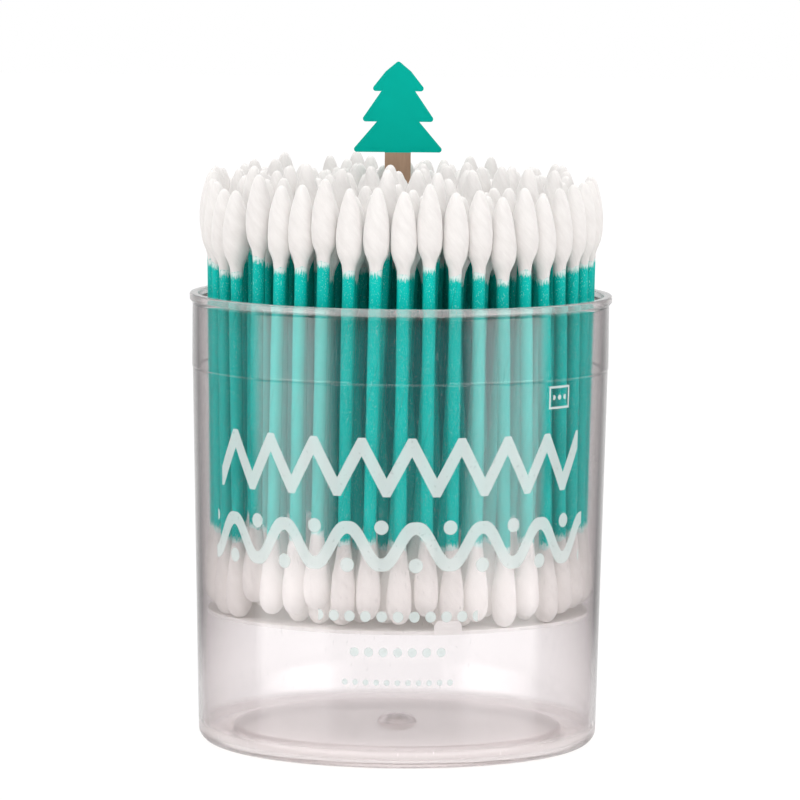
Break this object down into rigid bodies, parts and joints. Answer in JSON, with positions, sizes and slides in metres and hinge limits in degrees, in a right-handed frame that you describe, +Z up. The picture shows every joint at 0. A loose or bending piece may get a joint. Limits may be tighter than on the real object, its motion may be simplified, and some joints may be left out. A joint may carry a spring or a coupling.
{
  "type": "cotton swab tub",
  "caption": "Round clear plastic tub of two-ended cotton swabs that stand on a loose card disc, with a fir-tree pull tab that raises the disc and the swabs.",
  "frame": {"origin": "middle of the ground plane under the tub, on the tub's axis", "axes": "+Z up along the tub's axis, -Y towards the front, which is the face of the tree tab, +X to the right as seen from the front"},
  "size_m": [0.075, 0.075, 0.121],
  "materials": {
    "clear_plastic": "clear, slightly cloudy",
    "white_card": "smooth white card",
    "green_card": "printed card, green tree and brown strip",
    "green_paper": "rolled paper stick, satin",
    "cotton": "wound cotton, soft and matt"
  },
  "bodies": {
    "tub": {"tub": "clear_plastic"},
    "lifter": {"lift_disc": "white_card", "pull_tab": "green_card", "ring_1_sticks": "green_paper", "ring_1_sharp_tips": "cotton", "ring_1_round_tips": "cotton", "ring_2_sticks": "green_paper", "ring_2_sharp_tips": "cotton", "ring_2_round_tips": "cotton", "ring_3_sticks": "green_paper", "ring_3_sharp_tips": "cotton", "ring_3_round_tips": "cotton", "ring_4_sticks": "green_paper", "ring_4_sharp_tips": "cotton", "ring_4_round_tips": "cotton", "ring_5_sticks": "green_paper", "ring_5_sharp_tips": "cotton", "ring_5_round_tips": "cotton", "ring_6_sticks": "green_paper", "ring_6_sharp_tips": "cotton", "ring_6_round_tips": "cotton", "ring_7_sticks": "green_paper", "ring_7_sharp_tips": "cotton", "ring_7_round_tips": "cotton", "ring_8_sticks": "green_paper", "ring_8_sharp_tips": "cotton", "ring_8_round_tips": "cotton"}
  },
  "joints": [
    {"name": "lift", "type": "slide", "parent": "tub", "child": "lifter", "axis": [0, 0, 1], "range_m": [-0.018, 0.036]}
  ]
}
